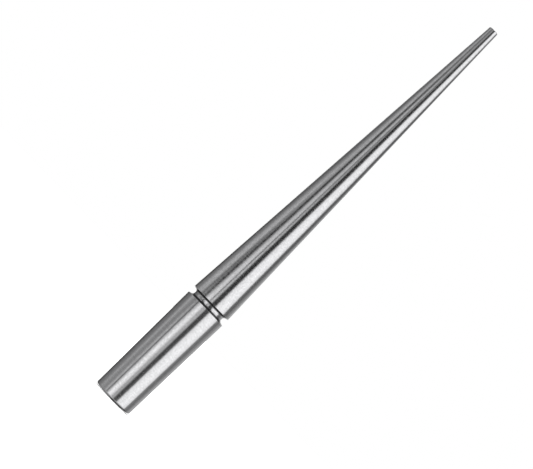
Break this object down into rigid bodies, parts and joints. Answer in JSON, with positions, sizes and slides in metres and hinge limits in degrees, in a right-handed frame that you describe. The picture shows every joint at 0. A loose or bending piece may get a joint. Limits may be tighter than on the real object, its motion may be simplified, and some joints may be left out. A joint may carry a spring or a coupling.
{
  "type": "ring mandrel",
  "caption": "Plain polished steel ring mandrel: long straight round taper with a small flat tip, set in a slightly tapered turned handle behind a round-bottomed groove.",
  "frame": {"origin": "centre of the butt face, the flat end of the handle that the mandrel stands on", "axes": "+Z along the centre line from the butt of the handle to the tip of the taper; X and Y are square to it and equivalent, because both pieces are round"},
  "size_m": [0.027, 0.027, 0.3],
  "materials": {
    "turned_steel": "fine-turned and polished steel, faint marks running round it",
    "ground_steel": "hardened steel, ground round and polished, fine grinding lines running round it"
  },
  "bodies": {
    "root": {"handle": "turned_steel", "tapered_mandrel": "ground_steel"}
  },
  "joints": []
}
